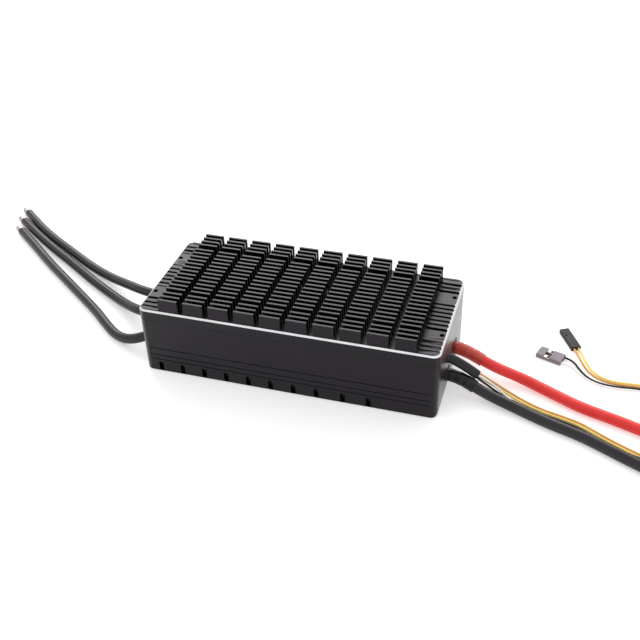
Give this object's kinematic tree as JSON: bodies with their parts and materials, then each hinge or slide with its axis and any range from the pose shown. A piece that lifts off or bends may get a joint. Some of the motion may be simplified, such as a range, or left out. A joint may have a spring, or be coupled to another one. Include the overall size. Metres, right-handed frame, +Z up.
{
  "type": "electronic speed controller",
  "caption": "Long finned black metal motor speed controller with thick red and black power leads, black motor leads and thin signal wires ending in small plugs.",
  "frame": {"origin": "middle of the case's underside", "axes": "+X towards the battery leads and signal wires, -X towards the motor leads, +Z up through the fins"},
  "size_m": [0.457, 0.1564, 0.0468],
  "materials": {
    "anodised_black": "black anodised, satin, bare at the chamfered edges",
    "gasket": "matt",
    "case_screw": "black oxide",
    "grommet": "matt",
    "black_silicone": "soft satin silicone insulation",
    "red_silicone": "soft satin silicone insulation",
    "black_shrink": "heat-shrunk, slight sheen",
    "red_shrink": "heat-shrunk, slight sheen",
    "tinned_strands": "soft solder over fine strands",
    "signal_sleeve": "soft plastic tube",
    "orange_wire": "soft plastic insulation",
    "yellow_wire": "soft plastic insulation",
    "white_wire": "soft plastic insulation",
    "thin_black_wire": "soft plastic insulation",
    "grey_plug": "moulded plastic",
    "black_plug": "moulded plastic",
    "contact": "plated crimp contact",
    "circuit_board": "solder mask",
    "chip": "moulded package",
    "thermal_pad": "matt gap filler",
    "capacitor_can": "sleeved can",
    "bus_bar": "copper strip",
    "board_post": "nylon",
    "board_screw": "plated",
    "ferrite": "ferrite ring core",
    "connector": "moulded header"
  },
  "bodies": {
    "root": {"upper_heatsink": "anodised_black", "lower_case": "anodised_black", "lid_gasket": "gasket", "case_screws": "case_screw", "motor_grommet_a": "grommet", "motor_grommet_b": "grommet", "motor_grommet_c": "grommet", "red_lead_grommet": "grommet", "black_lead_grommet": "grommet", "signal_grommet": "grommet", "motor_lead_a": "black_silicone", "motor_lead_b": "black_silicone", "motor_lead_c": "black_silicone", "motor_lead_tip_a": "tinned_strands", "motor_lead_tip_b": "tinned_strands", "motor_lead_tip_c": "tinned_strands", "red_power_lead": "red_silicone", "red_lead_tip": "tinned_strands", "black_power_lead": "black_silicone", "black_lead_tip": "tinned_strands", "signal_sleeve": "signal_sleeve", "orange_signal_wire": "orange_wire", "yellow_signal_wire": "yellow_wire", "white_signal_wire": "white_wire", "black_signal_wire": "thin_black_wire", "red_lead_sleeve": "red_shrink", "black_lead_sleeve": "black_shrink", "grey_plug": "grey_plug", "grey_plug_contacts": "contact", "black_plug": "black_plug", "black_plug_contacts": "contact", "power_board": "circuit_board", "mosfets": "chip", "thermal_pad": "thermal_pad", "capacitors": "capacitor_can", "gate_drivers": "chip", "current_shunts": "chip", "positive_bus_bar": "bus_bar", "negative_bus_bar": "bus_bar", "phase_bar_a": "bus_bar", "phase_bar_b": "bus_bar", "phase_bar_c": "bus_bar", "power_board_posts": "board_post", "power_board_screws": "board_screw", "control_board": "circuit_board", "control_board_posts": "board_post", "control_board_screws": "board_screw", "microcontroller": "chip", "regulator_choke": "ferrite", "board_header": "connector", "signal_header": "connector", "signal_harness": "thin_black_wire"}
  },
  "joints": []
}
